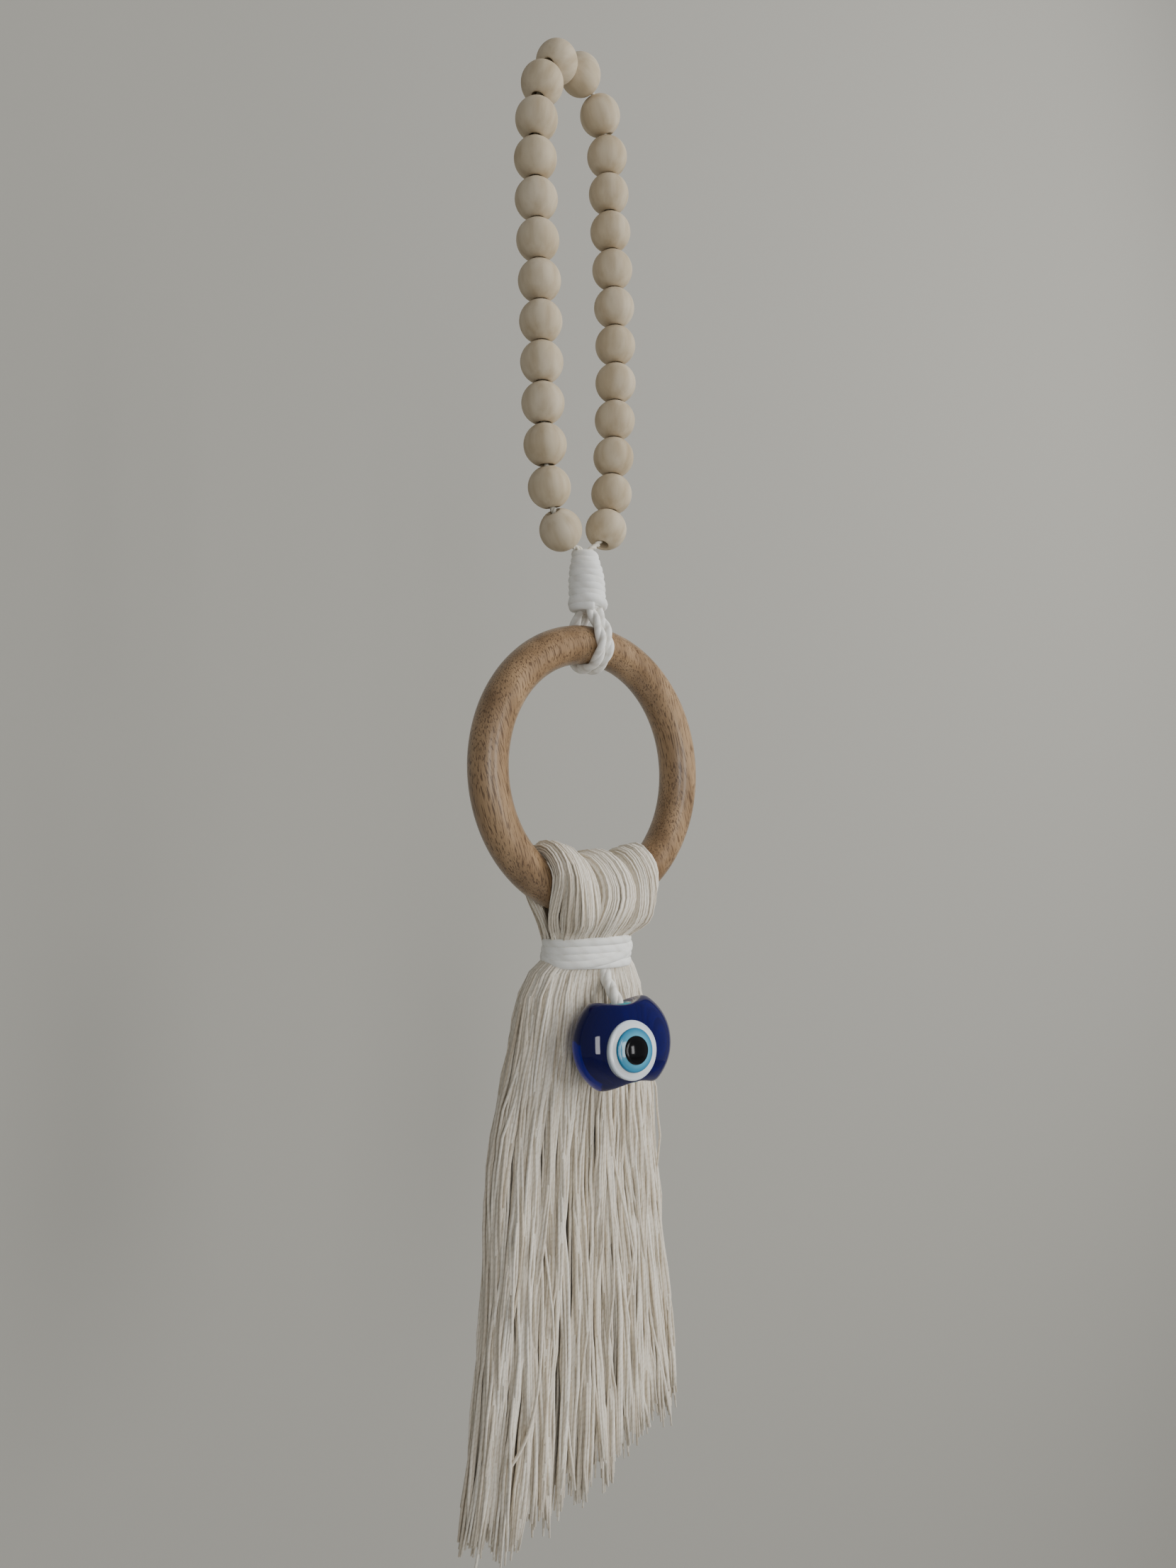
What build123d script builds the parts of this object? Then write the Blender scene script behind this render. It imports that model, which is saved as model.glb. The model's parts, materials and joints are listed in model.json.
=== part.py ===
from build123d import *

import math
import os

os.makedirs("parts", exist_ok=True)

# Evil eye wall ornament: a closed string of wooden beads hangs on a nail, a bound neck
# below it holds a wooden ring, and a three-hank cotton tassel on the ring carries a
# wound-glass eye bead in front of its skirt.
#
# Millimetres, +Z up, front towards -Y. The origin is the hang point: the top of the
# nail, against the inside of the bead loop.

# ---------------------------------------------------------------- driving dimensions

# Wooden beads
bead_diameter = 10.2
bead_length = 9.45
bead_bore = 3.2
bead_rim_chamfer = 0.25
bead_gap = 0.2
bead_count = 26
first_bead = 9.6

# String that runs through the beads and down into the neck
string_diameter = 0.9
string_dip = 4.0
string_mouth_offset = 0.95

# Neck: binding cord wound round the string ends and the hitch
neck_top_z = -114.4
neck_top_y = 1.6
neck_bottom_z = -129.9

# Wooden ring
ring_radius = 30.0
ring_tube_radius = 4.65
ring_z = -168.0

# Hitch: two side-by-side cord loops that carry the ring
hitch_cord_diameter = 2.4
hitch_clearance = 0.3

# Tassel
head_radius = 11.0
head_half_angle = 30.0
head_half_width = 15.5
shoulder_z = -196.0
shoulder_inset = 4.8
head_bore_radius = 5.95
head_split_x = 5.2
waist_half_width = 11.0
waist_half_depth = 6.8
waist_y = 0.8
wrap_top_z = -207.4
wrap_bottom_z = -214.0
wrap_thickness = 1.5
skirt_top_z = wrap_bottom_z - 0.35
skirt_roof_slope = 21.0
skirt_hem_z = -330.0
skirt_hem_slope = 20.0

# Eye bead
eye_width = 26.0
eye_thickness = 12.5
eye_section_height = 22.2
eye_core_diameter = 6.6
eye_core_length = 17.8
eye_bore_diameter = 4.4
eye_string_diameter = 3.0
eye_centre = Vector(-1.2, -12.7, -230.6)
eye_lean = 6.8
eye_roll = 3.0
eye_turned = 7.0
eye_offset_x = -1.4
eye_offset_z = -1.4
eye_string_top = Vector(0, -5.2, wrap_bottom_z - 0.3 - eye_string_diameter / 2)
eye_string_end = -9.0

# ---------------------------------------------------------------- bead loop

# The loop's line, from the left end at the neck up over the nail and down the right.
loop_points = [
    (-1.0, 1.4, -117.0),
    (-9.2, 0.4, -110.4),
    (-13.4, -0.2, -97.0),
    (-15.4, -0.4, -65.0),
    (-17.0, -0.4, -32.0),
    (-16.8, -0.3, -14.5),
    (-14.4, 0.2, -3.8),
    (-9.4, 1.4, 3.4),
    (-2.0, 3.4, 6.3),
    (5.0, 4.8, 3.5),
    (9.5, 5.2, -4.4),
    (10.9, 5.0, -18.0),
    (12.0, 5.0, -36.0),
    (13.3, 5.0, -62.0),
    (11.8, 4.4, -92.0),
    (7.9, 3.0, -108.6),
    (1.0, 1.4, -117.0),
]
with BuildLine() as loop_line:
    Spline(*loop_points)
loop_edge = loop_line.edges()[0]
loop_length = loop_edge.length


def loop_plane(distance):
    """Plane on the loop's line at a distance along it, with its normal along the line."""
    at = distance / loop_length
    return Plane(origin=loop_edge.position_at(at), z_dir=loop_edge.tangent_at(at))


# Beads touch: where the loop bends, the rim of one bead's flat end meets the next bead's
# rim, and round the arch it is ball against ball.
bead_flat_radius = math.sqrt(bead_diameter**2 - bead_length**2) / 2
bead_places = [first_bead]
while len(bead_places) < bead_count:
    here = loop_plane(bead_places[-1])
    ahead = loop_plane(bead_places[-1] + bead_diameter)
    half_turn = math.radians(here.z_dir.get_angle(ahead.z_dir)) / 2
    rim_to_rim = bead_length * math.cos(half_turn) + 2 * bead_flat_radius * math.sin(half_turn)
    ball_to_ball = bead_diameter * half_turn / math.sin(half_turn)
    on_rims = half_turn < math.asin(2 * bead_flat_radius / bead_diameter)
    bead_places.append(bead_places[-1] + (rim_to_rim if on_rims else ball_to_ball) + bead_gap)

bead_planes = [loop_plane(place) for place in bead_places]
for index, bead_plane in enumerate(bead_planes, start=1):
    with BuildPart() as wood_bead:
        with BuildSketch(Plane(origin=bead_plane.origin, x_dir=bead_plane.x_dir, z_dir=-bead_plane.y_dir)):
            with BuildLine():
                bore_wall = Line(
                    (bead_bore / 2, bead_rim_chamfer - bead_length / 2),
                    (bead_bore / 2, bead_length / 2 - bead_rim_chamfer),
                )
                upper_end = Polyline(
                    bore_wall @ 1,
                    (bead_bore / 2 + bead_rim_chamfer, bead_length / 2),
                    (bead_flat_radius, bead_length / 2),
                )
                lower_end = Polyline(
                    bore_wall @ 0,
                    (bead_bore / 2 + bead_rim_chamfer, -bead_length / 2),
                    (bead_flat_radius, -bead_length / 2),
                )
                ThreePointArc(upper_end @ 1, (bead_diameter / 2, 0), lower_end @ 1)
            make_face()
        revolve(axis=Axis(bead_plane.origin, bead_plane.z_dir))
    name = f"wood_bead_{index:02d}"
    wood_bead.part.label = name
    export_step(wood_bead.part, f"parts/{name}.step")


def largest_radii(points):
    """Corner radii of a route: 0.45 of the shorter run over the tangent of half the turn."""
    radii = []
    for before, corner, after in zip(points, points[1:], points[2:]):
        run_in = Vector(*corner) - Vector(*before)
        run_out = Vector(*after) - Vector(*corner)
        half_turn = math.radians(run_in.get_angle(run_out)) / 2
        radii.append(0.45 * min(run_in.length, run_out.length) / math.tan(half_turn))
    return radii


# The string runs along each bead's own axis and turns between beads, where the axes of
# neighbours cross. At both ends it turns down into the neck.
string_mouths = [
    Vector(-string_mouth_offset, neck_top_y, neck_top_z),
    Vector(string_mouth_offset, neck_top_y, neck_top_z),
]
half_pitch = bead_length / 2 + bead_gap
string_points = [string_mouths[0] - (0, 0, string_dip), string_mouths[0]]
string_points.append(bead_planes[0].origin - bead_planes[0].z_dir * half_pitch)
for here, ahead in zip(bead_planes, bead_planes[1:]):
    reach = (ahead.origin - here.origin).length / 2
    string_points.append((here.origin + here.z_dir * reach + ahead.origin - ahead.z_dir * reach) / 2)
string_points.append(bead_planes[-1].origin + bead_planes[-1].z_dir * half_pitch)
string_points += [string_mouths[1], string_mouths[1] - (0, 0, string_dip)]
string_points = [tuple(point) for point in string_points]
string_radii = largest_radii(string_points)
with BuildPart() as bead_string:
    with BuildLine() as string_line:
        FilletPolyline(*string_points, radius=string_radii)
    with BuildSketch(Plane(origin=string_line.line @ 0, z_dir=string_line.line % 0)):
        Circle(string_diameter / 2)
    sweep(path=string_line.line)
bead_string.part.label = "bead_string"
export_step(bead_string.part, "parts/bead_string.step")
string_length = string_line.wires()[0].length
print(f"bead string: length {string_length:.1f} mm, radii {min(string_radii):.1f} mm and up")
section = math.pi * string_diameter**2 / 4
print(f"bead string volume {bead_string.part.volume:.1f}, section x length {section * string_length:.1f}")

# ---------------------------------------------------------------- neck

neck_sections = [
    (neck_bottom_z, 0.0, 0.5, 4.5),
    (-126.0, -0.1, 0.8, 4.6),
    (-120.0, -0.1, 1.2, 4.2),
    (neck_top_z, 0.0, neck_top_y, 3.1),
]
with BuildPart() as neck_wrap:
    for z, x, y, radius in neck_sections:
        with BuildSketch(Plane.XY.offset(z)):
            with Locations((x, y)):
                Circle(radius)
    loft()
    add(bead_string.part, mode=Mode.SUBTRACT)
neck_wrap.part.label = "neck_wrap"
export_step(neck_wrap.part, "parts/neck_wrap.step")

# ---------------------------------------------------------------- ring and hitch

ring_plane = Plane(origin=(0, 0, ring_z), z_dir=(0, -1, 0))
ring_top = Vector(0, 0, ring_z + ring_radius)
ring_bottom = Vector(0, 0, ring_z - ring_radius)

with BuildPart(ring_plane) as wood_ring:
    Torus(major_radius=ring_radius, minor_radius=ring_tube_radius)
wood_ring.part.label = "wood_ring"
export_step(wood_ring.part, "parts/wood_ring.step")

hitch_radius = ring_tube_radius + hitch_clearance + hitch_cord_diameter / 2
hitch_offset = hitch_cord_diameter / 2 - 0.02
with BuildPart() as ring_hitch:
    for side in (-1, 1):
        with Locations(Plane(origin=ring_top + (side * hitch_offset, 0, 0), z_dir=(1, 0, 0))):
            Torus(major_radius=hitch_radius, minor_radius=hitch_cord_diameter / 2)
ring_hitch.part.label = "ring_hitch"
export_step(ring_hitch.part, "parts/ring_hitch.step")

# ---------------------------------------------------------------- tassel head and wrap

# The three hanks share one outline: a thick saddle that follows the ring's lower curve,
# drawn in to the waist that the wrap binds. Each hank is its share between the splits.
hank_sides = {
    "left": (None, -head_split_x),
    "middle": (-head_split_x, head_split_x),
    "right": (head_split_x, None),
}


def keep_between(low, high):
    """Keep the current part's stretch between two x limits, where a limit is given."""
    if low is not None:
        split(bisect_by=Plane(origin=(low, 0, 0), z_dir=(1, 0, 0)), keep=Keep.TOP)
    if high is not None:
        split(bisect_by=Plane(origin=(high, 0, 0), z_dir=(1, 0, 0)), keep=Keep.BOTTOM)


start_angle = math.radians(head_half_angle)
head_start = Plane(
    origin=(0, 0, ring_z),
    z_dir=(0, -1, 0),
    x_dir=(-math.sin(start_angle), 0, -math.cos(start_angle)),
)
for side, (low, high) in hank_sides.items():
    with BuildPart() as hank_head:
        with Locations(head_start):
            Torus(major_radius=ring_radius, minor_radius=head_radius,
                  major_angle=2 * head_half_angle, align=None)
        for outward in (-1, 1):
            shoulder = Plane(origin=(outward * head_half_width, 0, shoulder_z),
                             z_dir=(outward * (shoulder_z - wrap_top_z), 0, -shoulder_inset))
            split(bisect_by=shoulder, keep=Keep.BOTTOM)
        split(bisect_by=Plane.XY.offset(wrap_top_z), keep=Keep.TOP)
        with BuildSketch(Plane.XY.offset(ring_bottom.Z - 2)):
            Ellipse(head_half_width - shoulder_inset / 2, head_radius - 0.6)
        with BuildSketch(Plane.XY.offset(wrap_top_z)):
            with Locations((0, waist_y)):
                Ellipse(waist_half_width, waist_half_depth)
        loft()
        with BuildSketch(Plane.XY.offset(wrap_bottom_z)):
            with Locations((0, waist_y)):
                Ellipse(waist_half_width, waist_half_depth)
        extrude(amount=wrap_top_z - wrap_bottom_z)
        with Locations(Plane(origin=(0, 0, ring_z), z_dir=(0, -1, 0))):
            Torus(major_radius=ring_radius, minor_radius=head_bore_radius, mode=Mode.SUBTRACT)
        keep_between(low, high)
    name = f"{side}_hank_head"
    hank_head.part.label = name
    export_step(hank_head.part, f"parts/{name}.step")

with BuildPart() as tassel_wrap:
    with BuildSketch(Plane.XY.offset(wrap_bottom_z)):
        with Locations((0, waist_y)):
            Ellipse(waist_half_width + wrap_thickness, waist_half_depth + wrap_thickness)
            Ellipse(waist_half_width, waist_half_depth, mode=Mode.SUBTRACT)
    extrude(amount=wrap_top_z - wrap_bottom_z)
tassel_wrap.part.label = "tassel_wrap"
export_step(tassel_wrap.part, "parts/tassel_wrap.step")

# ---------------------------------------------------------------- skirt

# Flat oval sections of the skirt: height, centre x, half width, half depth, centre y.
skirt_sections = [
    (skirt_top_z, 0.0, 11.0, 5.4, 3.0),
    (-221.5, 0.6, 17.3, 8.5, 3.8),
    (-231.0, 1.6, 19.5, 9.0, 4.3),
    (-252.0, 1.8, 21.7, 10.0, 5.2),
    (-282.0, 2.3, 25.2, 10.8, 5.7),
    (-312.0, 2.7, 29.2, 11.0, 5.7),
    (-348.0, 2.7, 34.0, 10.6, 5.7),
]
hem_plane = Plane(origin=(0, 0, skirt_hem_z), z_dir=(-math.tan(math.radians(skirt_hem_slope)), 0, 1))

# The skirt's top is a low roof with its ridge on the sway axis, so that it can lean to
# either side under the wrap.
for side, (low, high) in hank_sides.items():
    with BuildPart() as hank_skirt:
        for z, x, half_width, half_depth, y in skirt_sections:
            with BuildSketch(Plane.XY.offset(z)):
                with Locations((x, y)):
                    Ellipse(half_width, half_depth)
        loft(ruled=True)
        split(bisect_by=hem_plane, keep=Keep.TOP)
        for slope in (-skirt_roof_slope, skirt_roof_slope):
            roof = Plane(origin=(0, 0, skirt_top_z), z_dir=(math.tan(math.radians(slope)), 0, 1))
            split(bisect_by=roof, keep=Keep.BOTTOM)
        keep_between(low, high)
    name = f"{side}_hank_skirt"
    hank_skirt.part.label = name
    export_step(hank_skirt.part, f"parts/{name}.step")

# ---------------------------------------------------------------- eye bead

# The bead's own frame: local Z up its hole, local -Y out of the painted front. The hole
# leans back at the top and rolls to the left, and the front is turned to the left.
lean = math.radians(eye_lean)
roll = math.radians(eye_roll)
turned = math.radians(eye_turned)
eye_axis = Vector(-math.sin(roll), math.sin(lean), math.cos(lean)).normalized()
eye_side = Vector(math.cos(turned), -math.sin(turned), 0)
eye_side = (eye_side - eye_axis * eye_side.dot(eye_axis)).normalized()
eye_frame = Plane(origin=eye_centre, x_dir=eye_side, z_dir=eye_axis)

# Section of the wound glass: an oval whose middle stands off the hole. It is turned
# round the hole and pressed flat, and a funnel at each end of the hole leaves two lobes.
lobe_centre = 3.4
lobe_half_width = eye_width / 2 - lobe_centre
press = eye_thickness / eye_width
funnel_floor = eye_core_length / 2 - 0.2
funnel_height = 2.5
funnel_top_radius = 7.5

# Inlays: radius, depth of the seat, rim and middle of the domed face, all before the centre.
eye_inlays = {
    "eye_white": (6.65, 4.0, 5.7, 6.9),
    "eye_light_blue": (4.95, 5.4, 6.55, 7.35),
    "eye_pupil": (3.2, 6.2, 7.2, 7.95),
}


def eye_part(builder, name):
    """Move a piece made in the bead's own frame to its place, label it and write it."""
    placed = eye_frame.location * builder.part
    placed.label = name
    export_step(placed, f"parts/{name}.step")
    return placed


def dome_y(radius, rim, crown):
    """Height of a round dome at half its radius, from the heights of its rim and middle."""
    rise = crown - rim
    ball = (radius**2 + rise**2) / (2 * rise)
    return crown - ball + math.sqrt(ball**2 - radius**2 / 4)


inlay_plane = Plane(origin=(eye_offset_x, 0, eye_offset_z))
inlay_tools = []
for name, (radius, seat, rim, crown) in eye_inlays.items():
    with BuildPart() as inlay_tool:
        with BuildSketch(inlay_plane):
            with BuildLine():
                side_line = Polyline((0, -crown), (0, -seat), (radius, -seat), (radius, -rim))
                ThreePointArc(side_line @ 1, (radius / 2, -dome_y(radius, rim, crown)), side_line @ 0)
            make_face()
        revolve(axis=Axis(inlay_plane.origin, inlay_plane.y_dir))
    inlay_tools.append(inlay_tool.part)

for index, name in enumerate(eye_inlays):
    with BuildPart() as inlay:
        add(inlay_tools[index])
        for inner in inlay_tools[index + 1:]:
            add(inner, mode=Mode.SUBTRACT)
    eye_part(inlay, name)

with BuildPart() as eye_glass:
    with BuildSketch(Plane.XZ):
        with Locations((lobe_centre, 0)):
            Ellipse(lobe_half_width, eye_section_height / 2)
        Rectangle(lobe_centre, eye_section_height, align=(Align.MIN, Align.CENTER))
        Rectangle(eye_width, eye_section_height, align=(Align.MIN, Align.CENTER), mode=Mode.INTERSECT)
    revolve(axis=Axis.Z)
    scale(by=(1, press, 1))
    Cylinder(radius=eye_core_diameter / 2, height=2 * eye_section_height, mode=Mode.SUBTRACT)
    for end in (-1, 1):
        with Locations(Plane(origin=(0, 0, end * funnel_floor), z_dir=(0, 0, end))):
            Cone(
                bottom_radius=eye_core_diameter / 2,
                top_radius=funnel_top_radius,
                height=funnel_height,
                align=(Align.CENTER, Align.CENTER, Align.MIN),
                mode=Mode.SUBTRACT,
            )
    for tool in inlay_tools:
        add(tool, mode=Mode.SUBTRACT)
eye_part(eye_glass, "eye_glass")

with BuildPart() as eye_core:
    Cylinder(radius=eye_core_diameter / 2, height=eye_core_length)
    Hole(radius=eye_bore_diameter / 2)
eye_part(eye_core, "eye_core")

# The eye's string leaves from under the wrap, leans out over the skirt and runs down
# the bead's bore. Its top is rounded, so that it can swing just below the wrap.
eye_string_points = [
    tuple(eye_string_top),
    tuple(eye_centre + eye_axis * (eye_core_length / 2 + 1)),
    tuple(eye_centre + eye_axis * eye_string_end),
]
eye_string_radii = largest_radii(eye_string_points)
with BuildPart() as eye_string:
    with BuildLine() as eye_string_line:
        FilletPolyline(*eye_string_points, radius=eye_string_radii)
    with BuildSketch(Plane(origin=eye_string_line.line @ 0, z_dir=eye_string_line.line % 0)):
        Circle(eye_string_diameter / 2)
    sweep(path=eye_string_line.line)
    with Locations(eye_string_top):
        Sphere(radius=eye_string_diameter / 2)
eye_string.part.label = "eye_string"
export_step(eye_string.part, "parts/eye_string.step")
print(f"eye string: length {eye_string_line.wires()[0].length:.1f} mm, radius {eye_string_radii[0]:.1f} mm")
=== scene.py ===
"""Evil eye wall ornament: a loop of wooden beads, a beech ring on a cord hitch, a
three-hank cotton tassel and a wound-glass eye bead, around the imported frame."""

import json
import logging
import math
from dataclasses import dataclass, field
from enum import Enum

import bpy
import numpy as np
from mathutils import Matrix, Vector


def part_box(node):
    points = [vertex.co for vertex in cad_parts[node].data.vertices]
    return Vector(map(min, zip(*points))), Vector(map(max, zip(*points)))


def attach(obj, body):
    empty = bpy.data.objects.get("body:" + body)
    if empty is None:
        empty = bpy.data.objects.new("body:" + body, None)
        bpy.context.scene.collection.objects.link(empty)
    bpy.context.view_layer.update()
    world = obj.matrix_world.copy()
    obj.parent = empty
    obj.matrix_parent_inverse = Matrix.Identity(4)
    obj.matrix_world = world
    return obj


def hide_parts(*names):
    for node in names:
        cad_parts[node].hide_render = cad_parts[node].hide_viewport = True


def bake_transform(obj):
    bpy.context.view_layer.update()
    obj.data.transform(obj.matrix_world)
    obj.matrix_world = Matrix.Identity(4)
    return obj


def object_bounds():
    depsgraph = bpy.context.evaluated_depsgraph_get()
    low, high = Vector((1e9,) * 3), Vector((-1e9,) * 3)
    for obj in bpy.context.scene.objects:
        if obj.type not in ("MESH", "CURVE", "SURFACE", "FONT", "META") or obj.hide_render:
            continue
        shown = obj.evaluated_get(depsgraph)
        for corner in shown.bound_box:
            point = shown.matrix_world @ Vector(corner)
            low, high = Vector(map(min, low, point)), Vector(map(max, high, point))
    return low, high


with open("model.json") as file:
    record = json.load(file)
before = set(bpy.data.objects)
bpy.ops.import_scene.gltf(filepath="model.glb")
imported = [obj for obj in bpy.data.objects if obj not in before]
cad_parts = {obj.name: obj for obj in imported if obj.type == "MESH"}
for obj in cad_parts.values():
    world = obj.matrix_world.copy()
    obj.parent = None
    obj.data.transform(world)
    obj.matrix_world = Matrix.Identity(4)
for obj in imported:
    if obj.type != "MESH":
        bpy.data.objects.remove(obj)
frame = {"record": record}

logging.basicConfig(level=logging.INFO, format="%(message)s")
LOG = logging.getLogger("ornament")

MM = 0.001
UP = np.array([0.0, 0.0, 1.0])
RIGHT = np.array([1.0, 0.0, 0.0])
FRONT_TO_BACK = np.array([0.0, 1.0, 0.0])
END_BULGE = 0.4  # how far a tube's end pole stands out, as a share of its radius
CAD_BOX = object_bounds()


# --------------------------------------------------------------------------- helpers


def vec(*values: float) -> np.ndarray:
    """A vector given in millimetres, in metres."""
    return np.array(values, dtype=float) * MM


def unit(vectors: np.ndarray) -> np.ndarray:
    """The same vectors at length one, along the last axis."""
    return vectors / np.maximum(np.linalg.norm(vectors, axis=-1, keepdims=True), 1e-12)


def linear(red: int, green: int, blue: int) -> tuple[float, float, float, float]:
    """A display colour as linear light.

    Args:
        red: Red from 0 to 255.
        green: Green from 0 to 255.
        blue: Blue from 0 to 255.

    Returns:
        Red, green and blue as linear light, and full alpha.
    """
    share = np.array([red, green, blue]) / 255
    light = np.where(share <= 0.04045, share / 12.92, ((share + 0.055) / 1.055) ** 2.4)
    return (float(light[0]), float(light[1]), float(light[2]), 1.0)


def joint_named(name: str) -> dict:
    """The record's joint with this name."""
    return next(j for j in frame["record"]["behaviour"]["joints"] if j["name"] == name)


def ease(amount: np.ndarray) -> np.ndarray:
    """Smooth step from 0 to 1: 3a^2 - 2a^3, with a held between 0 and 1."""
    held = np.clip(amount, 0.0, 1.0)
    return held * held * (3 - 2 * held)


def ripple(u: np.ndarray, v: np.ndarray, rng: np.random.Generator, waves: int = 5) -> np.ndarray:
    """Soft unevenness of about +-1: a mean of sines of u and v at random pitches and phases.

    Args:
        u: First coordinate, in turns.
        v: Second coordinate, in turns.
        rng: The seeded source of pitches and phases.
        waves: How many sines are added.

    Returns:
        An array of the shape of u and v together.
    """
    total = 0.0
    for _ in range(waves):
        along, around, phase = rng.integers(1, 5), rng.integers(0, 4), rng.uniform(0, 2 * math.pi)
        total = total + np.sin(2 * math.pi * (along * u + around * v) + phase)
    return total / math.sqrt(waves)


def smooth_path(points: np.ndarray, samples: int) -> np.ndarray:
    """Points on uniform cubic B-splines: each is the usual four-point weighted mean.

    Args:
        points: Control points, of shape (strands, count, 3). The end points are repeated,
            so that each curve starts and stops at them.
        samples: How many points each curve gets.

    Returns:
        An array of shape (strands, samples, 3).
    """
    padded = np.concatenate([points[:, :1]] * 2 + [points] + [points[:, -1:]] * 2, axis=1)
    spans = padded.shape[1] - 3
    at = np.linspace(0, spans - 1e-6, samples)
    cell = at.astype(int)
    t = (at - cell)[None, :, None]
    weights = ((1 - t) ** 3, 3 * t**3 - 6 * t**2 + 4, -3 * t**3 + 3 * t**2 + 3 * t + 1, t**3)
    return sum(w * padded[:, cell + k] for k, w in enumerate(weights)) / 6


# --------------------------------------------------------------------------- surfaces


@dataclass
class Surface:
    """Points and faces of one or more grids, with a UV and a local place for patterns."""

    points: np.ndarray
    quads: np.ndarray
    quad_uv: np.ndarray
    tris: np.ndarray
    tri_uv: np.ndarray
    local: np.ndarray

    def to_object(self, name: str, material: bpy.types.Material) -> bpy.types.Object:
        """The surface as a smooth-shaded mesh object in the scene.

        Args:
            name: The piece's name.
            material: Its finish.

        Returns:
            The new object, at the origin.
        """
        mesh = bpy.data.meshes.new(name)
        mesh.vertices.add(len(self.points))
        mesh.vertices.foreach_set("co", self.points.astype(np.float32).ravel())
        corners = np.concatenate([self.quads.ravel(), self.tris.ravel()]).astype(np.int32)
        sizes = np.concatenate([np.full(len(self.quads), 4), np.full(len(self.tris), 3)])
        mesh.loops.add(len(corners))
        mesh.loops.foreach_set("vertex_index", corners)
        mesh.polygons.add(len(sizes))
        starts = np.concatenate([[0], np.cumsum(sizes)[:-1]]).astype(np.int32)
        mesh.polygons.foreach_set("loop_start", starts)
        mesh.polygons.foreach_set("use_smooth", np.ones(len(sizes), dtype=bool))
        mesh.update(calc_edges=True)
        run = mesh.uv_layers.new(name="run")
        uv = np.concatenate([self.quad_uv.reshape(-1, 2), self.tri_uv.reshape(-1, 2)])
        run.data.foreach_set("uv", uv.astype(np.float32).ravel())
        local = mesh.attributes.new("local", "FLOAT_VECTOR", "POINT")
        local.data.foreach_set("vector", self.local.astype(np.float32).ravel())
        mesh.validate()
        mesh.materials.append(material)
        piece = bpy.data.objects.new(name, mesh)
        bpy.context.scene.collection.objects.link(piece)
        return piece


def join(parts: list[Surface]) -> Surface:
    """Several surfaces as one, their faces counted on past each other's points.

    Args:
        parts: The surfaces.

    Returns:
        The joined surface.
    """
    counts = np.cumsum([0] + [len(p.points) for p in parts[:-1]])
    return Surface(
        np.concatenate([p.points for p in parts]),
        np.concatenate([p.quads + n for p, n in zip(parts, counts)]),
        np.concatenate([p.quad_uv for p in parts]),
        np.concatenate([p.tris + n for p, n in zip(parts, counts)]),
        np.concatenate([p.tri_uv for p in parts]),
        np.concatenate([p.local for p in parts]),
    )


def grid(
    rings: np.ndarray,
    along: np.ndarray,
    closed_rows: bool = False,
    poles: np.ndarray | None = None,
    local: np.ndarray | None = None,
) -> Surface:
    """Stacks of rings joined by quads, each ring a closed row of points.

    Args:
        rings: Points of shape (stacks, rows, columns, 3); columns run round the ring so
            that their direction crossed with the rows' direction points outwards.
        along: Pattern distance of each row, of shape (stacks, rows), in metres.
        closed_rows: Whether the last ring joins the first, as on a ring or bead.
        poles: End points that close the two ends, of shape (stacks, 2, 3).
        local: Pattern places for the ring points, in the shape of rings.

    Returns:
        The joined surface; u of its UV is the distance along, v the share around.
    """
    stacks, rows, columns, _ = rings.shape
    local = rings if local is None else local
    index = np.arange(stacks * rows * columns).reshape(stacks, rows, columns)
    below = index if closed_rows else index[:, :-1]
    above = np.roll(index, -1, axis=1) if closed_rows else index[:, 1:]
    quads = np.stack(
        [below, np.roll(below, -1, axis=2), np.roll(above, -1, axis=2), above], axis=-1
    ).reshape(-1, 4)
    u0 = along if closed_rows else along[:, :-1]
    u1 = along[:, 1:]
    if closed_rows:
        u1 = np.concatenate([u1, 2 * along[:, -1:] - along[:, -2:-1]], 1)
    v0 = np.arange(columns) / columns
    v1 = v0 + 1 / columns
    shape = (stacks, u0.shape[1], columns)
    u0, u1 = np.broadcast_to(u0[..., None], shape), np.broadcast_to(u1[..., None], shape)
    v0, v1 = np.broadcast_to(v0, shape), np.broadcast_to(v1, shape)
    quad_uv = np.stack([np.stack(c, -1) for c in ((u0, v0), (u0, v1), (u1, v1), (u1, v0))], axis=-2)
    points, places = rings.reshape(-1, 3), local.reshape(-1, 3)
    tris, tri_uv = np.zeros((0, 3), dtype=int), np.zeros((0, 3, 2))
    if poles is not None:
        first = len(points) + np.arange(stacks)[:, None] * 2 + np.zeros((1, columns), dtype=int)
        start = np.stack([first, np.roll(index[:, 0], -1, axis=1), index[:, 0]], axis=-1)
        end = np.stack([first + 1, index[:, -1], np.roll(index[:, -1], -1, axis=1)], axis=-1)
        tris = np.concatenate([start.reshape(-1, 3), end.reshape(-1, 3)])
        edge = np.repeat(np.concatenate([along[:, 0], along[:, -1]]), columns)
        tri_uv = np.stack([np.stack([edge, np.zeros_like(edge)], -1)] * 3, axis=1)
        points = np.concatenate([points, poles.reshape(-1, 3)])
        ends = np.stack([local[:, 0].mean(axis=1), local[:, -1].mean(axis=1)], axis=1)
        places = np.concatenate([places, ends.reshape(-1, 3)])
    return Surface(points, quads, quad_uv.reshape(-1, 4, 2), tris, tri_uv, places)


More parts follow.
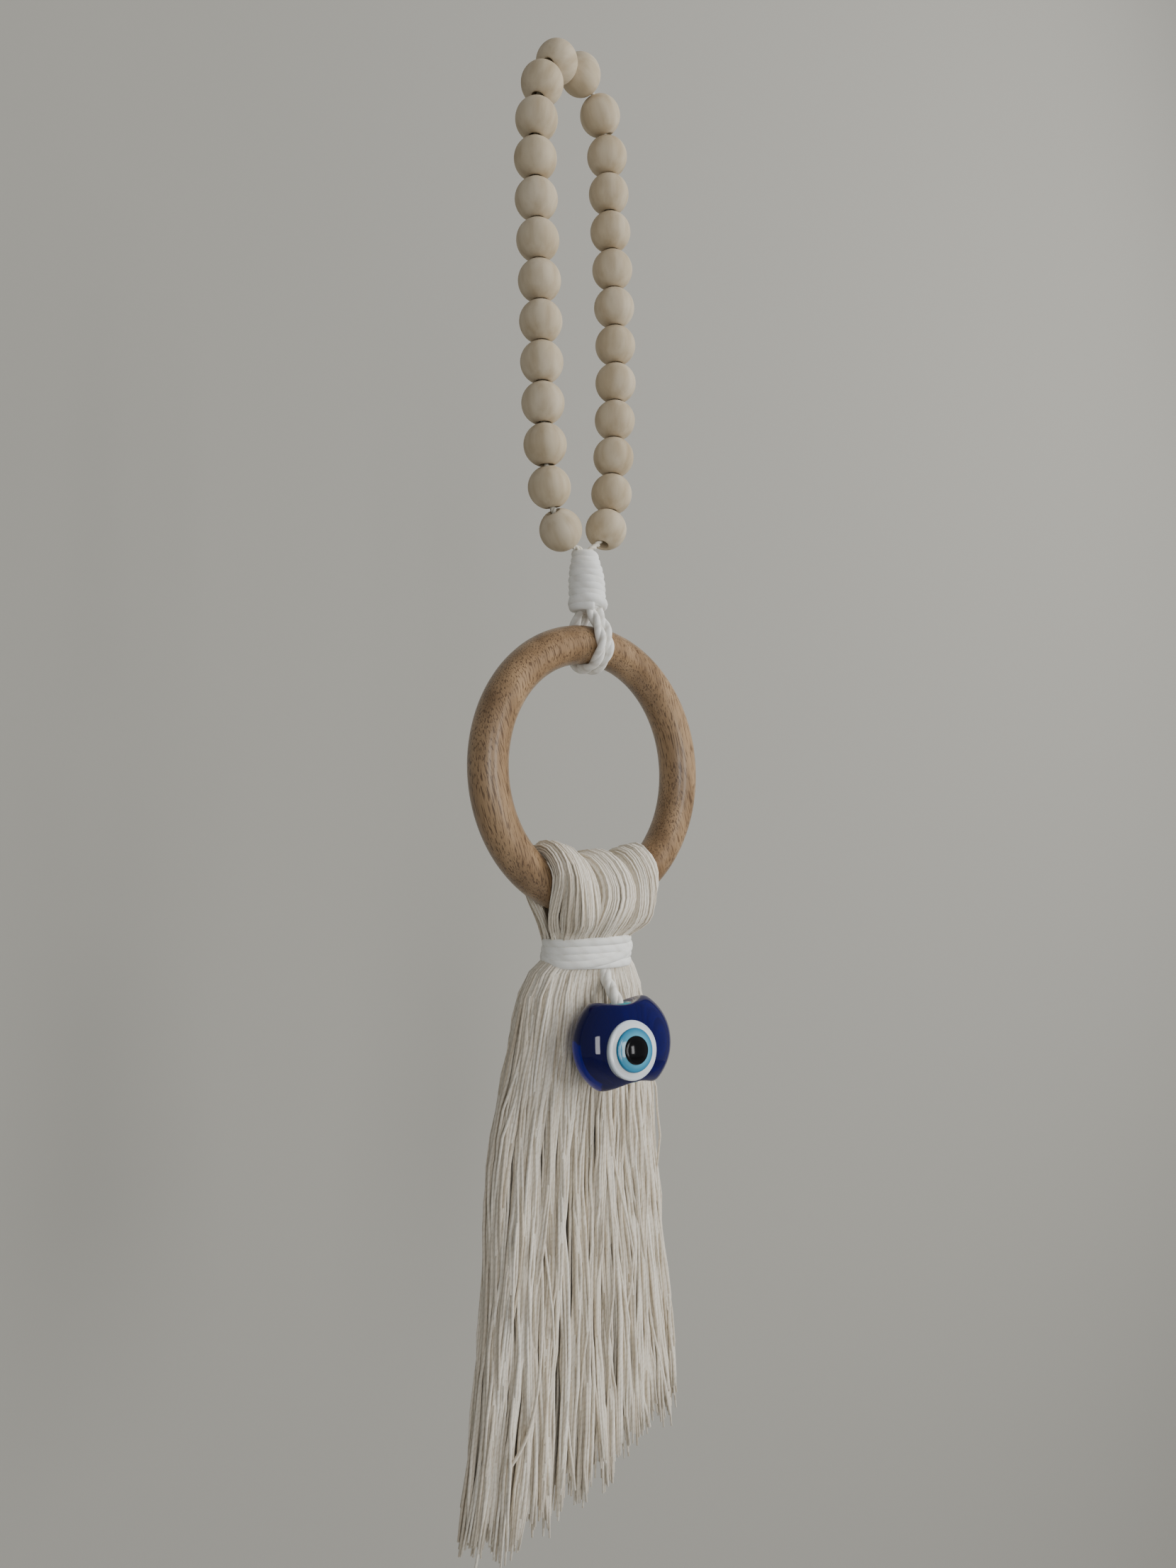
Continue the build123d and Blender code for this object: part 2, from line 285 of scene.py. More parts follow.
def tubes(
    paths: np.ndarray,
    radius: np.ndarray | float,
    sides: int,
    side_axis: np.ndarray,
    wide: float = 1.0,
    closed: bool = False,
    seeds: np.ndarray | None = None,
) -> Surface:
    """Tubes along paths. A ring point is p + r (n cos f + w b sin f), where t is the
    path's direction, n = t x side_axis and b = t x n.

    Args:
        paths: Centre lines, of shape (strands, samples, 3).
        radius: Radius in metres: one number, or of shape (strands, samples).
        sides: Points in each ring.
        side_axis: A direction that the paths never run along; b lies close to it.
        wide: How much wider the tube is along b than along n.
        closed: Whether each path is a loop whose last sample precedes its first.
        seeds: A number for each strand that shifts its pattern, in metres.

    Returns:
        The tubes, closed at their ends by poles unless they are loops.
    """
    if closed:
        ahead, behind = np.roll(paths, -1, axis=1), np.roll(paths, 1, axis=1)
        direction = unit(ahead - behind)
        step = np.linalg.norm(ahead - paths, axis=-1)
        along = np.concatenate([np.zeros((len(paths), 1)), np.cumsum(step, 1)[:, :-1]], 1)
    else:
        direction = unit(np.gradient(paths, axis=1))
        step = np.linalg.norm(np.diff(paths, axis=1), axis=-1)
        along = np.concatenate([np.zeros((len(paths), 1)), np.cumsum(step, 1)], 1)
    normal = unit(np.cross(direction, side_axis))
    binormal = np.cross(direction, normal)
    angle = np.arange(sides) * 2 * math.pi / sides
    out = normal[:, :, None] * np.cos(angle)[:, None]
    across = out + wide * binormal[:, :, None] * np.sin(angle)[:, None]
    radii = np.broadcast_to(radius, paths.shape[:2])[..., None, None]
    rings = paths[:, :, None] + across * radii
    if seeds is not None:
        along = along + seeds[:, None]
    local = np.zeros_like(rings)
    local[..., 0] = 0 if seeds is None else seeds[:, None, None]
    local[..., 1] = along[..., None]
    poles = None
    if not closed:
        bulge = radii[..., 0] * END_BULGE
        start = paths[:, 0] - direction[:, 0] * bulge[:, 0]
        end = paths[:, -1] + direction[:, -1] * bulge[:, -1]
        poles = np.stack([start, end], 1)
    return grid(rings, along, closed, poles, local)


def plies(
    path: np.ndarray, radius: float, count: int, pitch: float, side_axis: np.ndarray, start: float = 0.0
) -> np.ndarray:
    """Centre lines of a cord's plies: helices about the path, at angle 2 pi s / pitch.

    Args:
        path: The cord's centre line, of shape (samples, 3).
        radius: How far each ply's centre stands off it, in metres.
        count: How many plies.
        pitch: Length of one full twist, in metres.
        side_axis: A direction that the path never runs along.
        start: Angle of the first ply at the start.

    Returns:
        An array of shape (count, samples, 3).
    """
    direction = unit(np.gradient(path, axis=0))
    normal = unit(np.cross(direction, side_axis))
    binormal = np.cross(direction, normal)
    step = np.linalg.norm(np.diff(path, axis=0), axis=-1)
    along = np.concatenate([[0], np.cumsum(step)])
    turn = 2 * math.pi * along / pitch
    angle = start + turn[None] + np.arange(count)[:, None] * 2 * math.pi / count
    return path + radius * (np.cos(angle)[..., None] * normal + np.sin(angle)[..., None] * binormal)


def revolved(
    profile: np.ndarray,
    origin: np.ndarray,
    axis: np.ndarray,
    columns: int,
    closed: bool,
    unevenness: float = 0.0,
    rng: np.random.Generator | None = None,
    shift: np.ndarray | None = None,
) -> Surface:
    """A profile turned round an axis: o + rho (e1 cos f + e2 sin f) + z t.

    Args:
        profile: Rows of (rho, z) in metres, up the outside and, if closed, down the bore.
            If not closed, its first and last rows lie on the axis.
        origin: The middle of the turned piece.
        axis: The turning axis.
        columns: Points round it.
        closed: Whether the profile is a loop, as on a bead with a bore.
        unevenness: Share by which the radius wanders with f.
        rng: Source of the wander.
        shift: Added to the pattern places, so that like pieces differ.

    Returns:
        The turned surface.
    """
    axis = unit(axis)
    first = unit(np.cross(axis, RIGHT if abs(axis[0]) < 0.8 else UP))
    second = np.cross(axis, first)
    angle = np.arange(columns) * 2 * math.pi / columns
    spin = np.cos(angle)[:, None] * first + np.sin(angle)[:, None] * second
    rows = profile if closed else profile[1:-1]
    wander = 1.0
    if unevenness:
        wander = 1 + unevenness * ripple(angle / (2 * math.pi), 0 * angle, rng)
    reach = rows[:, None, 0] * wander * np.ones(columns)
    rings = origin + reach[..., None] * spin + rows[:, None, None, 1] * axis
    local = np.stack([reach * np.cos(angle), reach * np.sin(angle), rows[:, 1:] * np.ones(columns)], -1)
    if shift is not None:
        local = local + shift
    step = np.linalg.norm(np.diff(rows, axis=0), axis=-1)
    along = np.concatenate([[0], np.cumsum(step)])[None]
    poles = None
    if not closed:
        poles = np.stack([origin + profile[0, 1] * axis, origin + profile[-1, 1] * axis])[None]
    return grid(rings[None], along, closed, poles, local[None])


# --------------------------------------------------------------------------- finishes


class Nodes:
    """A small builder of shader nodes for one material."""

    def __init__(self, name: str) -> None:
        """Start a material that holds only its output and a Principled shader.

        Args:
            name: The material's name.
        """
        self.material = bpy.data.materials.new(name)
        self.material.use_nodes = True
        self.tree = self.material.node_tree
        self.shader = self.tree.nodes["Principled BSDF"]

    def add(self, kind: str, inputs: dict | None = None, **settings: object) -> bpy.types.Node:
        """Add a node of a kind, with its settings and its inputs' values or links.

        Args:
            kind: The node's type name.
            inputs: Input name or number to a value, or to an output socket to link.
            **settings: The node's own properties.

        Returns:
            The node.
        """
        node = self.tree.nodes.new(kind)
        for key, value in settings.items():
            setattr(node, key, value)
        for key, value in (inputs or {}).items():
            self.feed(node.inputs[key], value)
        return node

    def feed(self, socket: bpy.types.NodeSocket, value: object) -> None:
        """Link an output socket to an input, or set the input's value.

        Args:
            socket: The input.
            value: An output socket, or a plain value.
        """
        if isinstance(value, bpy.types.NodeSocket):
            self.tree.links.new(value, socket)
        else:
            socket.default_value = value

    def set(self, **values: object) -> None:
        """Set or link the Principled shader's inputs, named with _ for spaces."""
        for key, value in values.items():
            self.feed(self.shader.inputs[key.replace("_", " ")], value)

    def local(self, *scale: float) -> bpy.types.NodeSocket:
        """The piece's own pattern places, stretched by a scale along each axis."""
        place = self.add("ShaderNodeAttribute", attribute_name="local", attribute_type="GEOMETRY")
        return self.add("ShaderNodeMapping", {"Vector": place.outputs["Vector"], "Scale": scale}).outputs[0]

    def run(self, *scale: float) -> bpy.types.NodeSocket:
        """The UV along and around the surface, stretched by a scale along each axis."""
        place = self.add("ShaderNodeUVMap", uv_map="run")
        return self.add("ShaderNodeMapping", {"Vector": place.outputs["UV"], "Scale": scale}).outputs[0]

    def noise(self, vector: bpy.types.NodeSocket, scale: float, detail: float = 3.0) -> bpy.types.NodeSocket:
        """Noise of 0 to 1 over a pattern vector."""
        inputs = {"Vector": vector, "Scale": scale, "Detail": detail}
        return self.add("ShaderNodeTexNoise", inputs).outputs["Fac"]

    def ramp(self, share: bpy.types.NodeSocket, *stops: tuple[float, tuple]) -> bpy.types.NodeSocket:
        """A colour from a share of 0 to 1.

        Args:
            share: The share.
            *stops: Place from 0 to 1 and colour of each stop.

        Returns:
            The colour's socket.
        """
        node = self.add("ShaderNodeValToRGB", {"Fac": share})
        elements = node.color_ramp.elements
        while len(elements) < len(stops):
            elements.new(0.5)
        for element, (place, colour) in zip(elements, stops):
            element.position = place
            element.color = colour
        return node.outputs["Color"]

    def mix(self, share: object, one: object, other: object, blend: str = "MIX") -> bpy.types.NodeSocket:
        """Two colours mixed by a share.

        Args:
            share: How much of the other colour, as a number or a socket.
            one: The first colour, or its socket.
            other: The second colour, or its socket.
            blend: The blend mode.

        Returns:
            The mixed colour's socket.
        """
        node = self.add("ShaderNodeMix", data_type="RGBA", blend_type=blend)
        for number, value in ((0, share), (6, one), (7, other)):
            self.feed(node.inputs[number], value)
        return node.outputs[2]

    def bump(self, height: bpy.types.NodeSocket, strength: float, distance: float) -> None:
        """Roughen the shader's normal by a height, in metres at full strength."""
        node = self.add("ShaderNodeBump", {"Height": height, "Strength": strength, "Distance": distance})
        self.set(Normal=node.outputs[0])


@dataclass(frozen=True)
class BareWood:
    """Sanded, unvarnished pale wood with faint growth lines along the bore."""

    name: str = "bare_bead_wood"
    pale: tuple = linear(207, 194, 171)
    deep: tuple = linear(186, 170, 144)

    def material(self) -> bpy.types.Material:
        """Build the finish.

        Returns:
            The new material.
        """
        nodes = Nodes(self.name)
        lines = nodes.noise(nodes.local(420, 420, 60), 1.0, 4.0)
        cloud = nodes.noise(nodes.local(90, 90, 90), 1.0, 2.0)
        grain = nodes.ramp(lines, (0.3, self.deep), (0.62, self.pale))
        shade = nodes.ramp(cloud, (0.3, linear(232, 226, 214)), (0.7, (1, 1, 1, 1)))
        nodes.set(Base_Color=nodes.mix(0.8, grain, shade, "MULTIPLY"), Roughness=0.62)
        nodes.bump(lines, 0.25, 0.0001)
        return nodes.material


@dataclass(frozen=True)
class VarnishedBeech:
    """Beech under a clear satin varnish, with short dark pores along one grain direction."""

    name: str = "varnished_beech"
    pale: tuple = linear(167, 137, 102)
    deep: tuple = linear(128, 101, 71)
    pore: tuple = linear(74, 50, 30)
    grain_tilt: float = math.radians(16)
    band_scale: tuple = (190, 190, 22)
    pore_scale: tuple = (3500, 3500, 230)

    def material(self) -> bpy.types.Material:
        """Build the finish.

        Returns:
            The new material.
        """
        nodes = Nodes(self.name)
        place = nodes.add("ShaderNodeTexCoord").outputs["Object"]
        tilt = {"Vector": place, "Rotation": (0, self.grain_tilt, 0)}
        turned = nodes.add("ShaderNodeMapping", tilt).outputs[0]
        bands, flecks = (
            nodes.add("ShaderNodeMapping", {"Vector": turned, "Scale": scale}).outputs[0]
            for scale in (self.band_scale, self.pore_scale)
        )
        grain = nodes.ramp(nodes.noise(bands, 1.0, 4.0), (0.34, self.deep), (0.66, self.pale))
        fleck = nodes.noise(flecks, 1.0, 2.0)
        limits = {"From Min": 0.53, "From Max": 0.61, "To Min": 0.0, "To Max": 0.75}
        pores = nodes.add("ShaderNodeMapRange", {"Value": fleck, **limits}).outputs[0]
        nodes.set(Base_Color=nodes.mix(pores, grain, self.pore), Roughness=0.45)
        nodes.set(Coat_Weight=0.55, Coat_Roughness=0.27)
        nodes.bump(fleck, 0.5, 0.00018)
        return nodes.material


class Lay(Enum):
    """How a cotton strand's fibres show: pitch of the twist in metres, how strongly painted shade darkens
    its grooves from 0 to 1, and how deep the grooves are in metres."""

    YARN = (0.0016, 0.18, 0.00002)
    CORD = (0.0030, 0.30, 0.00008)
    SOFT_WRAP = (0.0048, 0.18, 0.00006)


@dataclass(frozen=True)
class Cotton:
    """Cotton with its twist along the strand, painted shade in the twist's grooves, fine fibres and a random
    tone per strand.
    """

    name: str
    pale: tuple
    deep: tuple
    lay: Lay

    def material(self) -> bpy.types.Material:
        """Build the finish.

        Returns:
            The new material.
        """
        pitch, dark, depth = self.lay.value
        nodes = Nodes(self.name)
        slant = {"Vector": nodes.run(1 / pitch, 1, 1), "Rotation": (0, 0, math.radians(45))}
        slanted = nodes.add("ShaderNodeMapping", slant).outputs[0]
        wave = {"Scale": 0.444, "Distortion": 1.5, "Detail": 2.0, "Detail Scale": 1.5}
        twist = nodes.add("ShaderNodeTexWave", {"Vector": slanted, **wave}).outputs["Fac"]
        fibres = nodes.noise(nodes.run(900, 7, 1), 1.0, 4.0)
        strand = nodes.noise(nodes.local(9100, 4, 1), 1.0, 1.0)
        shade = nodes.ramp(strand, (0.3, self.deep), (0.7, self.pale))
        shade = nodes.mix(0.25, shade, nodes.ramp(fibres, (0.3, self.deep), (0.7, (1, 1, 1, 1))), "MULTIPLY")
        # painted shade: the twist's grooves are darkened in the colour, by the lay's share
        painted_groove_shade = nodes.ramp(twist, (0.0, linear(190, 180, 165)), (0.45, (1, 1, 1, 1)))
        nodes.set(Base_Color=nodes.mix(dark, shade, painted_groove_shade, "MULTIPLY"), Roughness=0.85)
        nodes.set(Sheen_Weight=0.25, Sheen_Roughness=0.5, Specular_IOR_Level=0.25)
        height = nodes.mix(0.5, twist, fibres)
        nodes.bump(height, 0.6, depth)
        return nodes.material


@dataclass(frozen=True)
class ClearGlass:
    """Deep coloured glass, mostly clear: its colour deepens with the thickness the light
    crosses, and a share of its surface colour keeps its darkest parts from going black."""

    name: str
    tint: tuple
    density: float
    surface: tuple

    def material(self) -> bpy.types.Material:
        """Build the finish.

        Returns:
            The new material.
        """
        nodes = Nodes(self.name)
        nodes.set(Base_Color=self.surface, Transmission_Weight=0.76, Roughness=0.02, IOR=1.5)
        body = nodes.add("ShaderNodeVolumeAbsorption", {"Color": self.tint, "Density": self.density})
        nodes.tree.links.new(body.outputs[0], nodes.tree.nodes["Material Output"].inputs["Volume"])
        nodes.bump(nodes.noise(nodes.local(120, 120, 120), 1.0, 1.0), 0.15, 0.0003)
        return nodes.material


@dataclass(frozen=True)
class OpaqueGlass:
    """Opaque lampwork glass: glossy, with a soft change of colour out to its rim."""

    name: str
    middle: tuple
    rim: tuple
    rim_radius: float
    rim_start: float = 0.6
    coat: float = 0.5

    def material(self) -> bpy.types.Material:
        """Build the finish.

        Returns:
            The new material.
        """
        nodes = Nodes(self.name)
        flat = nodes.local(1, 1, 0)
        reach = nodes.add("ShaderNodeVectorMath", {0: flat}, operation="LENGTH").outputs["Value"]
        share = nodes.add("ShaderNodeMath", {0: reach, 1: self.rim_radius}, operation="DIVIDE").outputs[0]
        colour = nodes.ramp(share, (self.rim_start, self.middle), (1.0, self.rim))
        cloud = nodes.noise(nodes.local(260, 260, 260), 1.0, 2.0)
        tone = nodes.ramp(cloud, (0.3, linear(236, 238, 240)), (0.7, (1, 1, 1, 1)))
        nodes.set(Base_Color=nodes.mix(0.6, colour, tone, "MULTIPLY"), Roughness=0.12)
        nodes.set(Coat_Weight=self.coat, Coat_Roughness=0.04, Specular_IOR_Level=0.4)
        return nodes.material


# --------------------------------------------------------------------------- pieces


def place_piece(piece: bpy.types.Object, body: str, nodes: tuple[str, ...]) -> None:
    """Ride a piece on its body and let it stand for its nodes.

    Args:
        piece: The new piece.
        body: The body it moves with.
        nodes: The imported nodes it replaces.
    """
    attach(piece, body)
    if nodes:
        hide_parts(*nodes)
    LOG.info("%s: %d faces on %s", piece.name, len(piece.data.polygons), body)


@dataclass
class BeadLoop:
    """The closed string of turned wooden beads. Sizes in metres."""

    diameter: float = 10.2 * MM
    length: float = 9.45 * MM
    bore: float = 3.2 * MM
    string_diameter: float = 1.5 * MM
    columns: int = 56

    def profile(self) -> np.ndarray:
        """A bead's outline: an arc r = D/2 up the outside, flat ends, round bore rims.

        Returns:
            Rows of (radius, height), up the outside and down the bore.
        """
        radius = self.diameter / 2
        half = self.length / 2
        edge = math.asin(half / radius)
        angle = np.linspace(-edge, edge, 27)
        arc = np.stack([radius * np.cos(angle), radius * np.sin(angle)], -1)
        rim = self.bore / 2
        ease_in = 0.28 * MM
        turn = np.linspace(0, math.pi / 2, 5)
        top = np.stack([rim + ease_in * (1 - np.sin(turn)), half - ease_in * (1 - np.cos(turn))], -1)
        bottom = top[::-1] * [1, -1]
        return np.concatenate([arc, top, bottom])

    def build(self) -> None:
        """Make each bead on its own body, and the string on the loop."""
        rng = np.random.default_rng(11)
        profile = self.profile()
        finish = BareWood().material()
        centres, axes = [], []
        bodies = frame["record"]["behaviour"]["bodies"].values()
        names = sorted(node for body in bodies for node in body if node.startswith("wood_bead"))
        for name in names:
            number = name[-2:]
            joint = joint_named(f"bead_{number}_spin")
            centre, axis = np.array(joint["pos_m"]), np.array(joint["axis"])
            centres.append(centre)
            axes.append(axis)
            scale = 1 + rng.uniform(-0.006, 0.0)
            shift = rng.uniform(-0.5, 0.5, 3)
            surface = revolved(profile * scale, centre, axis, self.columns, True, 0.004, rng, shift)
            piece = surface.to_object(f"bead_{number}_turned", finish)
            place_piece(piece, f"bead_{number}", (name,))
        self.build_string(np.array(centres), np.array(axes))

    def build_string(self, centres: np.ndarray, axes: np.ndarray) -> None:
        """The string: a two-ply cord through the bores that dips into the neck at both ends.

        Args:
            centres: The beads' middles in order, from the left end of the loop.
            axes: The directions of their bores.
        """
        mouth = np.array([0.0, 1.6 * MM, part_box("neck_wrap")[1][2]])
        side = vec(0.95, 0, 0)
        reach = self.length * 0.42
        inner = np.stack([centres - axes * reach, centres + axes * reach], 1).reshape(-1, 3)
        ends = [mouth - side - vec(0, 0, 4), mouth - side - vec(0, 0, 1), mouth - side * 1.1]
        tail = [mouth + side * 1.1, mouth + side - vec(0, 0, 1), mouth + side - vec(0, 0, 4)]
        path = smooth_path(np.array(ends + list(inner) + tail)[None], 420)[0]
        away = np.array([0.0, 1.0, 0.02])
        strands = plies(path, self.string_diameter * 0.22, 2, 3.2 * MM, away)
        surface = tubes(strands, self.string_diameter * 0.29, 6, away)
        cotton = Cotton("string_cotton", linear(232, 228, 216), linear(208, 202, 186), Lay.YARN)
        piece = surface.to_object("bead_string_cord", cotton.material())
        place_piece(piece, "loop", ("bead_string",))


@dataclass
class Neck:
    """The gathering wrap under the beads. Sizes in metres."""

    turns: float = 8.6
    cord: float = 0.95 * MM
    top_radius: float = 3.1 * MM
    belly_radius: float = 4.5 * MM

    def build(self) -> None:
        """Wind the turns round the neck and close its middle with the bound strands."""
        low, high = (np.array(c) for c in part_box("neck_wrap"))
        rng = np.random.default_rng(5)
        bottom, top = low[2] + self.cord, high[2] - self.cord * 0.8
        share = np.linspace(0, 1, 420)
        angle = 2 * math.pi * self.turns * share + 0.6
        z = top + (bottom - top) * share + 0.00012 * ripple(share * 3, share, rng)
        lean_y = 1.6 * MM + (0.5 - 1.6) * MM * share
        radius = self.radius_at(share) - self.cord + 0.00009 * ripple(share * 5, share, rng)
        helix = np.stack([radius * np.cos(angle), lean_y + radius * np.sin(angle), z], -1)
        swell = self.cord * (1 + 0.07 * ripple(share * 7, share, rng))
        wound = tubes(helix[None], swell[None], 12, UP, wide=1.3)
        last = self.crossing_turn(low[2], lean_y[-1])
        middle = (top + bottom) / 2
        core = [[0, 1.6 * MM, top], [0, 1.1 * MM, middle], [0, 0.5 * MM, bottom - 0.2 * MM]]
        core = smooth_path(np.array(core)[None], 24)
        core_radius = np.interp(np.linspace(0, 1, 24), [0, 0.5, 1], [2.2, 3.2, 3.2]) * MM
        inner = tubes(core, core_radius[None], 20, RIGHT)
        cotton = Cotton("wrap_cotton", linear(248, 248, 246), linear(240, 240, 236), Lay.SOFT_WRAP)
        piece = join([wound, last, inner]).to_object("neck_wrap_turns", cotton.material())
        place_piece(piece, "loop", ("neck_wrap",))

    def radius_at(self, share: np.ndarray) -> np.ndarray:
        """Outer radius down the neck: from the narrow top it eases out to the belly."""
        return self.top_radius + (self.belly_radius - self.top_radius) * ease(share * 1.5 + 0.15)

    def crossing_turn(self, low: float, centre_y: float) -> Surface:
        """The thicker last turn: a tilted loop z = z0 + h cos f over the wound turns.

        Args:
            low: Height of the neck's lower end.
            centre_y: The neck's middle there, front to back.

        Returns:
            The turn's surface.
        """
        angle = np.arange(90) * 2 * math.pi / 90
        cord = self.cord * 1.15
        radius = self.belly_radius - cord * 0.72
        z = low + cord + 0.9 * MM + 0.9 * MM * np.cos(angle + 2.4)
        loop = np.stack([radius * np.cos(angle), centre_y + radius * np.sin(angle), z], -1)
        return tubes(loop[None], cord, 12, UP, wide=1.1, closed=True)


@dataclass
class RingAndHitch:
    """The turned beech ring and the two cord strands that carry it. Sizes in metres."""

    ring_radius: float = 30.0 * MM
    tube_radius: float = 4.65 * MM
    cord: float = 2.4 * MM
    neck_dip: float = 3.0 * MM
    bend: float = 2.5 * MM

    def build(self) -> None:
        """Make the ring and the hitch."""
        top = np.array(joint_named("ring_swing")["pos_m"])
        centre = top - UP * self.ring_radius
        self.build_ring(centre)
        self.build_hitch(top)

    def build_ring(self, centre: np.ndarray) -> None:
        """The ring: c + (R + r cos f)(cos g, 0, sin g) + r sin f y, a little out of true.

        Args:
            centre: The ring's middle c.
        """
        rng = np.random.default_rng(3)
        turn = np.arange(288) * 2 * math.pi / 288
        path = centre + self.ring_radius * np.stack([np.cos(turn), 0 * turn, np.sin(turn)], -1)
        radius = self.tube_radius * (1 + 0.006 * ripple(turn / (2 * math.pi), 0 * turn, rng))
        surface = tubes(path[None], radius[None], 48, FRONT_TO_BACK, closed=True)
        piece = surface.to_object("ring_turned_beech", VarnishedBeech().material())
        place_piece(piece, "ring", ("wood_ring",))

    def build_hitch(self, top: np.ndarray) -> None:
        """Two side-by-side strands: out of the neck, down the front, round the ring, up behind.

        Args:
            top: Middle of the ring's tube at its highest place.
        """
        reach = self.tube_radius + self.cord / 2 + 0.12 * MM
        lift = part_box("neck_wrap")[0][2] - top[2] + self.neck_dip
        angles = np.radians([132, 180, 222, 270, 318, 0, 48])
        side = np.stack([0 * angles, reach * 1.06 * np.cos(angles), reach * 1.06 * np.sin(angles)], -1)
        start = np.array([[0, -0.4 * MM, lift], [0, -1.2 * MM, lift - 2.2 * MM]])
        finish = np.array([[0, 1.8 * MM, lift - 2.2 * MM], [0, 1.0 * MM, lift]])
        route = np.concatenate([start, side, finish])
        strands = []
        for hand in (-1, 1):
            spread = np.array([hand * 0.46] + [hand * 0.5] * (len(route) - 2) + [hand * 0.46]) * self.cord
            line = top + route + spread[:, None] * RIGHT
            path = smooth_path(line[None], 150)[0]
            lines = plies(path, self.cord * 0.20, 2, 11.0 * MM, RIGHT, start=0.7 * hand)
            strands.append(tubes(lines, self.cord * 0.36, 14, RIGHT))
        cotton = Cotton("hitch_cotton", linear(247, 246, 242), linear(236, 234, 227), Lay.CORD)
        piece = join(strands).to_object("ring_hitch_strands", cotton.material())
        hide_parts("ring_hitch")
        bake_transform(piece)


